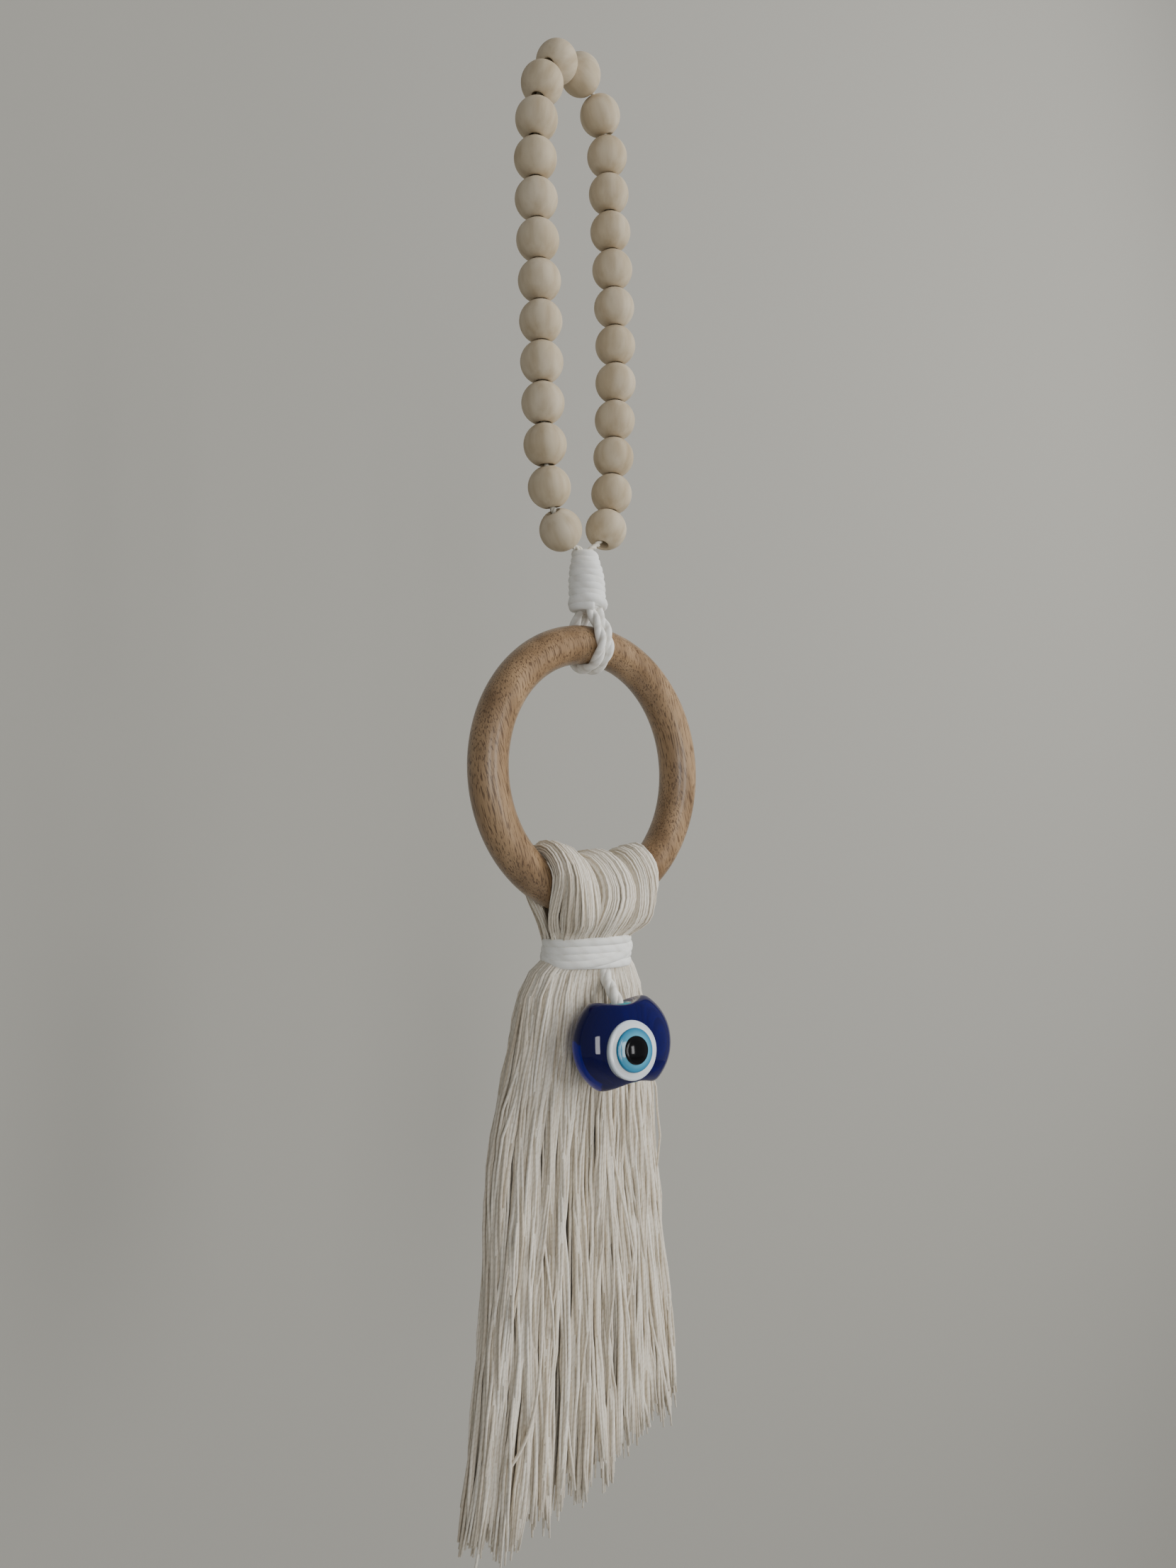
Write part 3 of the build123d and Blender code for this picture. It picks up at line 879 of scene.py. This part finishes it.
@dataclass
class Tassel:
    """Three hanks of yarn folded over the ring, bound below it and hanging as a skirt.
    Sizes in metres. Each rise is an amount and the depth below the wrap that it grows over."""

    strands_per_hank: int = 500
    head_strands: int = 240
    yarn: float = 0.80 * MM
    head_yarn: float = 0.47 * MM
    ring_radius: float = 30.0 * MM
    waist: tuple = (11.0 * MM, 6.8 * MM)
    waist_y: float = 0.8 * MM
    hem_z: float = -328.0 * MM
    hem_slope: float = math.tan(math.radians(20))
    width_rise: tuple = (6.6 * MM, 4.5 * MM)
    depth_rises: tuple = ((1.8 * MM, 5 * MM), (2.6 * MM, 50 * MM))
    back_rises: tuple = ((3 * MM, 6 * MM), (2 * MM, 40 * MM))
    hank_pitch: float = 10.3 * MM
    blend_depth: float = 28 * MM
    sides: tuple = ("left", "middle", "right")
    yarn_finish: Cotton = field(
        default_factory=lambda: Cotton(
            "hank_yarn", linear(250, 245, 233), linear(214, 203, 184), Lay.YARN
        )
    )

    def build(self) -> None:
        """Make the heads, the wrap and the skirts."""
        low, high = (np.array(c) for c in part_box("tassel_wrap"))
        self.wrap_low, self.wrap_high = low[2], high[2]
        self.bottom = np.array(joint_named("tassel_swing")["pos_m"])
        finish = self.yarn_finish.material()
        for number, side in enumerate(self.sides):
            head = self.head(number).to_object(f"{side}_hank_head_yarn", finish)
            place_piece(head, "tassel_head", (f"{side}_hank_head",))
            skirt = self.skirt(number).to_object(f"{side}_hank_skirt_yarn", finish)
            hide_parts(f"{side}_hank_skirt")
            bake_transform(skirt)
            LOG.info("%s: %d faces", skirt.name, len(skirt.data.polygons))
        self.build_wrap()

    def section(self, depth: np.ndarray) -> tuple[np.ndarray, np.ndarray, np.ndarray, np.ndarray]:
        """The skirt's oval at a depth below the wrap. Half width, half depth and middle are
        each a start plus rises a (1 - exp(-d / r)) of amount a and reach r at depth d. On
        its left the skirt bellies out between the wrap and the hem.

        Args:
            depth: Distances below the wrap, in metres.

        Returns:
            Half width, half depth, middle x and middle y, each in the shape of depth.
        """
        half_width = self.waist[0] + self.rise(depth, self.width_rise)
        half_width = half_width + 0.085 * depth + 0.3 * depth**2
        half_depth = self.waist[1] - 0.3 * MM + self.rise(depth, *self.depth_rises)
        belly = ease(depth / (45 * MM)) * ease((130 * MM - depth) / (60 * MM))
        half_width = half_width + 0.8 * MM * ease(depth / (45 * MM)) + 0.4 * MM * belly
        middle_x = 1.8 * MM * ease(depth / (20 * MM)) + 0.9 * MM * ease((depth - 40 * MM) / (50 * MM))
        middle_x = middle_x - 0.6 * MM * ease(depth / (45 * MM)) - 1.1 * MM * belly
        middle_y = self.waist_y + self.rise(depth, *self.back_rises)
        return half_width, half_depth, middle_x, middle_y

    def rise(self, depth: np.ndarray, *terms: tuple[float, float]) -> np.ndarray:
        """The sum of amount (1 - exp(-depth / reach)) over terms of amount and reach."""
        return sum(amount * (1 - np.exp(-depth / reach)) for amount, reach in terms)

    def skirt(self, number: int) -> Surface:
        """One hank's skirt. A strand keeps its share of the oval's width as the oval widens
        with depth; shares are drawn towards the middle of a clump by an amount that grows
        with depth, and slow sine waves bend clumps and single strands. The hem is uneven
        and slants up to the right.

        Args:
            number: Which hank, from 0 at the left to 2 at the right.

        Returns:
            The strands' surface.
        """
        rng = np.random.default_rng(40 + number)
        count, rows, clumps = self.strands_per_hank, 19, 8
        edges = (-1.0, -0.36, 0.36, 1.0)
        low_x, high_x = edges[number], edges[number + 1]
        across = rng.uniform(low_x, high_x, count)
        skin = rng.random(count) < 0.66
        shell = rng.choice([-1, 1], count, p=[0.58, 0.42]) * rng.uniform(0.84, 1.0, count)
        inside = np.where(skin, shell, rng.uniform(-0.8, 0.8, count))
        inward = np.sqrt(np.maximum(1 - across**2, 0.0))
        clump = np.minimum(((across - low_x) / (high_x - low_x) * clumps).astype(int), clumps - 1)
        clump_x = low_x + (clump + rng.uniform(0.3, 0.7, clumps)[clump]) / clumps * (high_x - low_x)
        hem = self.hem_z + across * 30 * MM * self.hem_slope
        hem = hem + rng.normal(0, 1.6 * MM, clumps)[clump] + rng.normal(0, 2.0 * MM, count)
        ragged = np.abs(rng.normal(0, 5.0 * MM, count)) * (rng.random(count) < 0.25)
        length = (self.wrap_low - hem - ragged)[:, None]
        share = np.linspace(0, 1, rows)[None] ** 1.2
        depth = share * length
        half_width, half_depth, middle_x, middle_y = self.section(depth)
        grow = ease(depth / (95 * MM))
        pull = grow * rng.uniform(0.15, 0.62, clumps)[clump][:, None]
        place = across[:, None] + (clump_x - across)[:, None] * pull
        stray = ((clump_x - across) / (high_x - low_x) * clumps)[:, None]
        phase = rng.uniform(0, 2 * math.pi, (4, clumps))[:, clump][..., None]
        own = rng.uniform(0, 2 * math.pi, (2, count))[..., None]
        sway = 0.55 * MM * np.sin(depth / (17 * MM) + phase[0])
        sway = sway + 0.3 * MM * np.sin(depth / (8 * MM) + phase[1])
        lift = 0.6 * MM * np.sin(depth / (15 * MM) + phase[2])
        loose = rng.gamma(1.8, 0.20 * MM, (count, 1)) * ease(depth / (12 * MM))
        sway = sway * ease(depth / (45 * MM)) + loose * np.sin(depth / (8.5 * MM) + own[0])
        lift = lift * ease(depth / (45 * MM)) + loose * np.sin(depth / (11 * MM) + own[1])
        kink = rng.normal(0, 0.17 * MM, (2, count, rows)) * ease(depth / (10 * MM))
        x = middle_x + place * half_width + sway + kink[0]
        recede = 1.0 - 0.16 * grow * np.minimum(stray**2 * 4, 1.0)
        y = middle_y + inside[:, None] * inward[:, None] * half_depth * recede + lift + kink[1]
        z = self.wrap_low + 2.5 * MM - depth * (1 + 2.5 * MM / length)
        paths = np.stack([x, y, z], -1)
        taper = 1 - 0.3 * ease((share - 0.94) / 0.06)
        radius = self.yarn / 2 * rng.uniform(0.8, 1.12, (count, 1)) * taper
        front = np.array([0.05, 1.0, 0.0])
        strands = tubes(paths, radius, 4, front, seeds=rng.uniform(0, 1, count))
        return join([strands, self.stray()]) if number == 0 else strands

    def stray(self) -> Surface:
        """One loose end low on the left hank that crosses the others on its way down.

        Returns:
            The strand's surface.
        """
        route = [vec(-15.5, -0.6, -268), vec(-16.2, -3.2, -288), vec(-18.0, -3.8, -306)]
        route += [vec(-20.9, -3.3, -316), vec(-24.6, -1.8, -321)]
        path = smooth_path(np.array([route]), 24)
        return tubes(path, self.yarn * 0.48, 6, np.array([0.0, 1.0, 0.1]))

    def head(self, number: int) -> Surface:
        """One hank's head. Over the ring its strands lie round an oval bundle: a strand at
        angle a of the bundle is at x = half cos a and reach = middle + rise sin a from the
        ring's axis. Below the ring they bag out and are drawn in sharply at the waist.

        Args:
            number: Which hank, from 0 at the left to 2 at the right.

        Returns:
            The strands and the padding under them.
        """
        rng = np.random.default_rng(70 + number)
        count = self.head_strands
        around = np.linspace(-0.6, math.pi + 0.6, count) + rng.normal(0, 0.035, count)
        w, crown = np.cos(around), np.sin(around)
        outer = np.clip(w * (number - 1), 0, 1)
        under = (np.arange(count) % 3) * 0.24 * MM
        mid_x = (number - 1) * self.hank_pitch
        x_ring = mid_x + w * (5.15 * MM - under)
        rise = self.ring_radius - np.sqrt(self.ring_radius**2 - x_ring**2)
        proud = (0.0, 0.5 * MM, -0.5 * MM)[number]
        reach = 7.2 * MM + proud + (4.0 * MM - under) * crown
        back = 5.7 * MM + (2.6 * MM - under) * crown
        close = 1 - 0.62 * outer**2
        waist_x = np.clip((number - 1) * 0.62 + w * 0.37, -0.99, 0.99) * (self.waist[0] - under)
        full = np.sqrt(1 - (waist_x / self.waist[0]) ** 2)
        waist_y = (self.waist[1] - under) * full * (0.72 + 0.28 * np.clip(crown, 0, 1))
        low, high = self.wrap_low - self.bottom[2], self.wrap_high - self.bottom[2]
        slant = (0.0, 2.2 * MM, -0.8 * MM)[number]
        bag_x = mid_x * 0.93 + w * (5.3 * MM - under)
        back_x = bag_x * 0.86
        columns = [self.row(waist_x, self.waist_y - waist_y, low + 1.5 * MM)]
        columns.append(self.row(waist_x, self.waist_y - waist_y, high - 1.2 * MM))
        columns.append(self.row(waist_x * 1.03, self.waist_y - waist_y * 1.05, high + 0.6 * MM))
        columns.append(self.row(bag_x * 0.88 - slant * 0.4, -0.80 * reach * close, high + 2.4 * MM))
        columns.append(self.row(bag_x - slant * 0.2, -0.97 * reach * close, high + 5.2 * MM))
        for degrees in (182, 155, 120, 90, 60, 25, -2):
            angle = math.radians(degrees)
            shift = slant * math.cos(angle) * -0.6
            here = reach + (back - reach) * max(math.cos(angle), 0.0)
            columns.append(self.row(x_ring + shift, here * math.cos(angle), rise + here * math.sin(angle)))
        columns.append(self.row(back_x, 0.84 * back * close, high + 5.2 * MM))
        columns.append(self.row(back_x * 0.92, 0.80 * back * close, high + 2.4 * MM))
        columns.append(self.row(waist_x * 1.03, self.waist_y + waist_y * 1.05, high + 0.6 * MM))
        columns.append(self.row(waist_x, self.waist_y + waist_y, high - 1.2 * MM))
        columns.append(self.row(waist_x, self.waist_y + waist_y, low + 1.5 * MM))
        control = self.bottom + np.stack(columns, 1)
        drift = rng.normal(0, 0.42 * MM, (count, 1, 3)) + rng.normal(0, 0.16 * MM, control.shape)
        paths = smooth_path(control + drift * np.array([1.0, 0.4, 0.4]), 34)
        radius = self.head_yarn / 2 * rng.uniform(0.85, 1.15, (count, 1))
        strands = tubes(paths, radius, 5, RIGHT, seeds=rng.uniform(0, 1, count))
        return join([strands, self.padding(number)])

    def row(self, x: np.ndarray, y: np.ndarray, z: np.ndarray | float) -> np.ndarray:
        """One control point per strand, from arrays or numbers along each axis."""
        return np.stack(np.broadcast_arrays(x, y, z), -1)

    def padding(self, number: int) -> Surface:
        """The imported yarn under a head's outer strands: an oval tube over the ring.

        Args:
            number: Which hank, from 0 at the left to 2 at the right.

        Returns:
            The padding's surface, with the plug on the middle hank.
        """
        mid_x = (number - 1) * self.hank_pitch
        rise = self.ring_radius - math.sqrt(self.ring_radius**2 - mid_x**2)
        waist_x = (number - 1) * 0.6 * self.waist[0]
        low, high = self.wrap_low - self.bottom[2], self.wrap_high - self.bottom[2]
        sides = []
        for sign, bag in ((-1, 6.2 * MM), (1, 4.2 * MM)):
            y = self.waist_y + sign * 3.0 * MM
            side = [(waist_x, y, low + 1.5 * MM), (waist_x, y, high), (waist_x, y, high + 1.0 * MM)]
            sides.append(side + [(mid_x * 0.84, sign * bag, high + 4.6 * MM)])
        arch = []
        for degrees in (176, 150, 120, 90, 60, 30, 4):
            angle = math.radians(degrees)
            reach = (7.7 - 1.2 * max(math.cos(angle), 0.0)) * MM
            arch.append((mid_x, reach * math.cos(angle), rise + reach * math.sin(angle)))
        path = smooth_path(self.bottom + np.array([sides[0] + arch + sides[1][::-1]]), 44)
        share = np.linspace(0, 1, 44)
        radius = (2.4 * MM - 1.1 * MM * ease(share * 3 - 1.5) * ease(6 - share * 6))[None]
        column = tubes(path, radius, 16, RIGHT, wide=1.75)
        return join([column, self.plug()]) if number == 1 else column

    def plug(self) -> Surface:
        """The yarn packed between the ring and the wrap: a bar along x with thin ends.

        Returns:
            The bar's surface.
        """
        x = np.linspace(-1, 1, 9)
        z = self.wrap_high + 2.1 * MM + 0.5 * MM * x**2
        bar = self.row(11.4 * MM * x, self.waist_y - 0.4 * MM, z)
        radius = 2.1 * MM * np.sqrt(1 - 0.6 * x**2)
        return tubes(bar[None], radius[None], 14, FRONT_TO_BACK, wide=1.6)

    def build_wrap(self) -> None:
        """The binding: flattened turns on the waist's oval, one of them crossing the rest."""
        rng = np.random.default_rng(9)
        turns = 4
        height = self.wrap_high - self.wrap_low
        pitch = height / turns
        angle = np.arange(160) * 2 * math.pi / 160
        cord = pitch * 0.56
        loops = []
        for turn in range(turns):
            z = self.wrap_low + pitch * (turn + 0.5) + 0.25 * MM * np.sin(angle + 0.8 * turn)
            swell = 0.12 * MM * ripple(angle / (2 * math.pi), 0 * angle, rng)
            loops.append(self.wrap_loop(angle, z, 0.75 * MM + swell))
        cross = self.wrap_low + height * (0.5 + 0.40 * np.sin(angle + 0.9))
        loops.append(self.wrap_loop(angle, cross, 1.05 * MM + 0 * angle))
        seeds = rng.uniform(0, 1, turns + 1)
        surface = tubes(np.stack(loops), cord * 0.62, 12, UP, wide=1.70, closed=True, seeds=seeds)
        cotton = Cotton("tassel_wrap_cotton", linear(248, 248, 245), linear(238, 238, 233), Lay.SOFT_WRAP)
        piece = surface.to_object("tassel_wrap_turns", cotton.material())
        place_piece(piece, "tassel_head", ("tassel_wrap",))

    def wrap_loop(self, angle: np.ndarray, z: np.ndarray, stand: np.ndarray) -> np.ndarray:
        """One turn: an oval that stands off the waist's oval by a distance.

        Args:
            angle: Angles round the waist.
            z: Heights at those angles.
            stand: Distances off the waist at those angles.

        Returns:
            The turn's centre line.
        """
        x = (self.waist[0] + stand) * np.cos(angle)
        y = self.waist_y + (self.waist[1] + stand) * np.sin(angle)
        return np.stack([x, y, z], -1)


@dataclass
class EyeBead:
    """The wound-glass bead with its stacked eye, and the string it hangs on. In metres."""

    width: float = 26.0 * MM
    thickness: float = 12.5 * MM
    section_height: float = 22.2 * MM
    lobe_centre: float = 2.7 * MM
    core: float = 3.3 * MM
    core_half: float = 8.9 * MM
    bore: float = 2.2 * MM
    turned: float = math.radians(7)
    offset: tuple = (-1.4 * MM, -1.4 * MM)
    string: float = 3.0 * MM
    funnel_slope: float = 0.6
    blend: float = 2.6 * MM

    def build(self) -> None:
        """Make the glass, its core, the eye's three discs and the string."""
        joint = joint_named("eye_turn")
        self.centre, self.axis = np.array(joint["pos_m"]), unit(np.array(joint["axis"]))
        side = np.array([math.cos(self.turned), -math.sin(self.turned), 0.0])
        self.side = unit(side - self.axis * (side @ self.axis))
        self.front = np.cross(self.side, self.axis)
        self.build_glass()
        self.build_core()
        self.build_eye()
        self.build_string()

    def placed(self, x: np.ndarray, out: np.ndarray, z: np.ndarray) -> np.ndarray:
        """Points of the bead's own frame: x right, out of the front, z up the hole."""
        flat = x[..., None] * self.side + out[..., None] * self.front
        return self.centre + flat + z[..., None] * self.axis

    def build_glass(self) -> None:
        """The glass: an oval section turned round the hole and pressed flat, dipped by a
        funnel at each end of the hole, and closed by the hole's wall. Rows run over the
        outside from the hole's top edge to its bottom edge and back up the wall."""
        rng = np.random.default_rng(21)
        press = self.thickness / self.width
        columns, rows = 144, 48
        turn = -np.arange(columns) * 2 * math.pi / columns
        hole = self.core - 0.08 * MM
        reach = np.hypot(np.cos(turn) * hole, np.sin(turn) * hole / press)
        heading = np.arctan2(np.sin(turn) / press, np.cos(turn))
        share = np.linspace(0, 1, rows)[:, None]
        rho = reach + (self.width / 2 - reach) * np.sin(share * math.pi / 2)
        x, out = rho * np.cos(heading), press * rho * np.sin(heading)
        z = self.shoulder(rho, np.hypot(x, out))
        wander = 0.008 * ripple(turn[None] / (2 * math.pi), rho / self.width, rng)
        swell = 1 + wander * ease((rho - reach) / (4 * MM))
        x, out = (np.concatenate([a, a[-2::-1]])[::-1] for a in (x * swell, out * swell))
        z = np.concatenate([z, -z[-2::-1]])[::-1]
        wall = z[-1] * np.linspace(0.97, -0.97, 14)[:, None]
        x = np.concatenate([x, np.broadcast_to(hole * np.cos(turn), wall.shape)])
        out = np.concatenate([out, np.broadcast_to(hole * np.sin(turn), wall.shape)])
        z = np.concatenate([z, wall])
        rings = self.placed(x, out, z)[None]
        step = np.linalg.norm(np.diff(rings[0].mean(axis=1), axis=0), axis=-1)
        along = np.concatenate([[0], np.cumsum(step)])[None]
        surface = grid(rings, along, True, None, np.stack([x, out, z], -1)[None])
        glass = ClearGlass("cobalt_glass", (0.005, 0.008, 0.90, 1.0), 700.0, (0.003, 0.003, 0.21, 1.0))
        piece = surface.to_object("eye_glass_wound", glass.material())
        place_piece(piece, "eye_bead", ("eye_glass",))

    def shoulder(self, rho: np.ndarray, distance: np.ndarray) -> np.ndarray:
        """Height of the glass over its middle: the lower of the oval section and the funnel.

        Args:
            rho: Radius before the glass is pressed flat. The oval is h (1 - q^2)^0.5, where
                q runs from 0 at the lobe's centre to 1 at the side.
            distance: True distance from the hole's axis. The funnel rises from the hole's
                edge as m + 0.6 (distance - hole) and eases into the oval.

        Returns:
            Heights in the shape of rho.
        """
        q = np.clip((rho - self.lobe_centre) / (self.width / 2 - self.lobe_centre), 0.0, 1.0)
        oval = self.section_height / 2 * np.sqrt(1 - q**2)
        funnel = self.core_half - 0.2 * MM + self.funnel_slope * (distance - self.core)
        gap = np.clip(0.5 + 0.5 * (funnel - oval) / self.blend, 0.0, 1.0)
        return funnel * (1 - gap) + oval * gap - self.blend * gap * (1 - gap)

    def build_core(self) -> None:
        """The turquoise core: a tube round the string's bore with rounded ends."""
        half = self.core_half
        ease_in = 0.5 * MM
        turn = np.linspace(0, math.pi / 2, 5)
        wide = np.stack([self.core - ease_in * (1 - np.cos(turn)), half - ease_in * (1 - np.sin(turn))], -1)
        narrow = np.stack([self.bore + ease_in * (1 - np.sin(turn)), half - ease_in * (1 - np.cos(turn))], -1)
        upper = np.concatenate([wide, narrow])
        profile = np.concatenate([(upper * [1, -1])[::-1][5:], upper, (upper * [1, -1])[::-1][:5]])
        surface = revolved(profile, self.centre, self.axis, 48, True)
        glass = OpaqueGlass("turquoise_glass", linear(40, 150, 165), linear(20, 110, 150), 12 * MM, 0.2)
        piece = surface.to_object("eye_core_tube", glass.material())
        place_piece(piece, "eye_bead", ("eye_core",))

    def disc(self, radius: float, seat: float, rim: float, crown: float, seed: int) -> Surface:
        """A domed disc: flat back, rounded edge, front z = crown - (crown - rim)(r / R)^2.2.

        Args:
            radius: Radius R.
            seat: How far the back stands in front of the bead's middle.
            rim: How far the front does at the edge.
            crown: How far it does at the centre.
            seed: Seed of the edge's unevenness.

        Returns:
            The disc's surface.
        """
        rng = np.random.default_rng(seed)
        edge = min(0.45 * MM, (rim - seat) * 0.4)
        turn = np.linspace(-math.pi / 2 * 0.2, math.pi / 2, 7)
        rho = np.linspace(0.97, 0.0, 20)[:-1] * (radius - edge)
        front = np.stack([rho, crown - (crown - rim) * (rho / radius) ** 2.2], -1)
        base = front[0, 1]
        corner = np.stack([radius - edge + edge * np.cos(turn), base - edge + edge * np.sin(turn)], -1)
        back = [[0.0, seat], [radius * 0.5, seat], [radius * 0.985, seat], [radius, seat + 0.2 * MM]]
        profile = np.concatenate([back, corner, front, [[0.0, crown]]])
        middle = self.centre + self.offset[0] * self.side + self.offset[1] * self.axis
        return revolved(profile, middle, self.front, 96, False, 0.008, rng)

    def build_eye(self) -> None:
        """The white, the light blue ring and the black pupil, each standing on the last."""
        white = OpaqueGlass("white_glass", linear(236, 240, 240), linear(214, 224, 232), 6.65 * MM, 0.75)
        blue = OpaqueGlass("light_blue_glass", linear(104, 184, 210), linear(26, 116, 156), 4.95 * MM, 0.55)
        black = OpaqueGlass("black_glass", linear(4, 4, 6), linear(8, 9, 13), 3.2 * MM, coat=0.0)
        for name, slot, finish, sizes in (
            ("eye_white", "white_glass", white, (6.65, 3.6, 5.7, 6.9)),
            ("eye_light_blue", "light_blue_glass", blue, (4.95, 5.0, 6.55, 7.35)),
            ("eye_pupil", "black_glass", black, (3.2, 5.8, 7.2, 7.95)),
        ):
            radius, seat, rim, crown = (size * MM for size in sizes)
            surface = self.disc(radius, seat, rim, crown, len(name))
            place_piece(surface.to_object(f"{name}_disc", finish.material()), "eye_bead", (name,))

    def build_string(self) -> None:
        """The string: three soft plies from under the wrap down into the bead's bore."""
        top = np.array(joint_named("eye_swing")["pos_m"])
        route = [top + vec(0, 0.8, 3.2), top + vec(0, 0.1, 1.2), top + vec(0, -0.9, -1.8)]
        route += [self.centre + self.axis * reach * MM for reach in (9.9, 7.0, 1.0, -6.0, -9.0)]
        path = smooth_path(np.array(route)[None], 110)[0]
        lines = plies(path, self.string * 0.17, 3, 13 * MM, RIGHT)
        surface = tubes(lines, self.string * 0.33, 12, RIGHT)
        cotton = Cotton("eye_string_cotton", linear(247, 246, 241), linear(236, 234, 226), Lay.CORD)
        piece = surface.to_object("eye_string_plies", cotton.material())
        place_piece(piece, "eye_hanger", ("eye_string",))


# --------------------------------------------------------------------------- studio


@dataclass
class Studio:
    """Camera, plain wall and floor, and soft lights. Sizes in metres."""

    camera_place: tuple = (-0.19094, -0.21654, -0.18713)
    yaw: float = math.radians(41.35)
    pitch: float = math.radians(3.15)
    lens: float = 27.85
    wall_gap: float = 0.25
    floor_drop: float = 0.9

    def build(self) -> None:
        """Set up everything that isn't the object."""
        self.build_camera()
        self.build_stage()
        self.build_lights()

    def build_camera(self) -> None:
        """The camera: left of the front, level with the tassel, turned towards the wall."""
        data = bpy.data.cameras.new("camera")
        data.sensor_fit, data.sensor_height, data.lens = "VERTICAL", 36.0, self.lens
        data.clip_start, data.clip_end = 0.01, 20.0
        camera = bpy.data.objects.new("camera", data)
        camera.location = self.camera_place
        camera.rotation_euler = (math.pi / 2 + self.pitch, 0.0, -self.yaw)
        bpy.context.scene.collection.objects.link(camera)
        bpy.context.scene.camera = camera

    def plane(self, name: str, corners: list[tuple], colour: tuple, one_sided: bool) -> bpy.types.Object:
        """A plain matt rectangle of the stage.

        Args:
            name: The piece's name.
            corners: Its four corners in order.
            colour: Its colour as linear light.
            one_sided: Whether it is clear from behind.

        Returns:
            The rectangle.
        """
        mesh = bpy.data.meshes.new(name)
        mesh.from_pydata(corners, [], [(0, 1, 2, 3)])
        nodes = Nodes(name)
        nodes.set(Base_Color=colour, Roughness=0.9)
        if one_sided:
            side = nodes.add("ShaderNodeNewGeometry").outputs["Backfacing"]
            clear = nodes.add("ShaderNodeBsdfTransparent").outputs[0]
            mixed = nodes.add("ShaderNodeMixShader", {0: side, 1: nodes.shader.outputs[0], 2: clear})
            nodes.tree.links.new(mixed.outputs[0], nodes.tree.nodes["Material Output"].inputs["Surface"])
        mesh.materials.append(nodes.material)
        stand = bpy.data.objects.new(name, mesh)
        bpy.context.scene.collection.objects.link(stand)
        return stand

    def build_stage(self) -> None:
        """A wall well behind the object and a floor well below it."""
        low, high = (np.array(c) for c in CAD_BOX)
        y, z = high[1] + self.wall_gap, low[2] - self.floor_drop
        upright = [(-3, y, z), (4, y, z), (4, y, 2.0), (-3, y, 2.0)]
        wall = self.plane("wall", upright, linear(160, 158, 151), True)
        wall.visible_shadow = False
        level = [(-3, -3, z), (3, -3, z), (3, 3, z), (-3, 3, z)]
        self.plane("floor", level, linear(205, 203, 197), False)

    def area(self, name: str, place: tuple, aim: tuple, size: tuple, power: float) -> bpy.types.Object:
        """A soft rectangular light that points from its place at an aim.

        Args:
            name: The light's name.
            place: Where it stands.
            aim: The point that it faces.
            size: Its width and height.
            power: Its power in watts.

        Returns:
            The light object.
        """
        data = bpy.data.lights.new(name, "AREA")
        data.shape, data.size, data.size_y = "RECTANGLE", size[0], size[1]
        data.energy = power
        light = bpy.data.objects.new(name, data)
        light.location = place
        away = unit(np.array(place) - np.array(aim))
        side = unit(np.cross(UP, away))
        lift = np.cross(away, side)
        columns = np.stack([side, lift, away], 1)
        light.rotation_euler = Matrix(columns.tolist()).to_euler()
        bpy.context.scene.collection.objects.link(light)
        return light

    def build_lights(self) -> None:
        """A very broad key from the right that leaves no glint, two far windows, soft sky."""
        aim = (0.0, 0.0, -0.18)
        key = self.area("key_right", (0.95, -0.85, 0.35), aim, (1.0, 1.2), 24.0)
        key.visible_glossy = False
        self.area("window_front", (0.12, -1.35, -0.10), aim, (0.26, 0.55), 3.5)
        self.area("window_left", (-0.66, -1.18, -0.12), aim, (0.24, 0.60), 3.5)
        world = bpy.data.worlds.new("soft_room")
        world.use_nodes = True
        sky = world.node_tree.nodes["Background"]
        sky.inputs["Color"].default_value = (0.96, 0.98, 1.0, 1.0)
        sky.inputs["Strength"].default_value = 0.24
        bpy.context.scene.world = world


def main() -> None:
    """Build the studio and every sub-assembly in order."""
    Studio().build()
    for part in (BeadLoop(), Neck(), RingAndHitch(), Tassel(), EyeBead()):
        LOG.info("building %s", type(part).__name__)
        part.build()


if __name__ == "__main__":
    main()
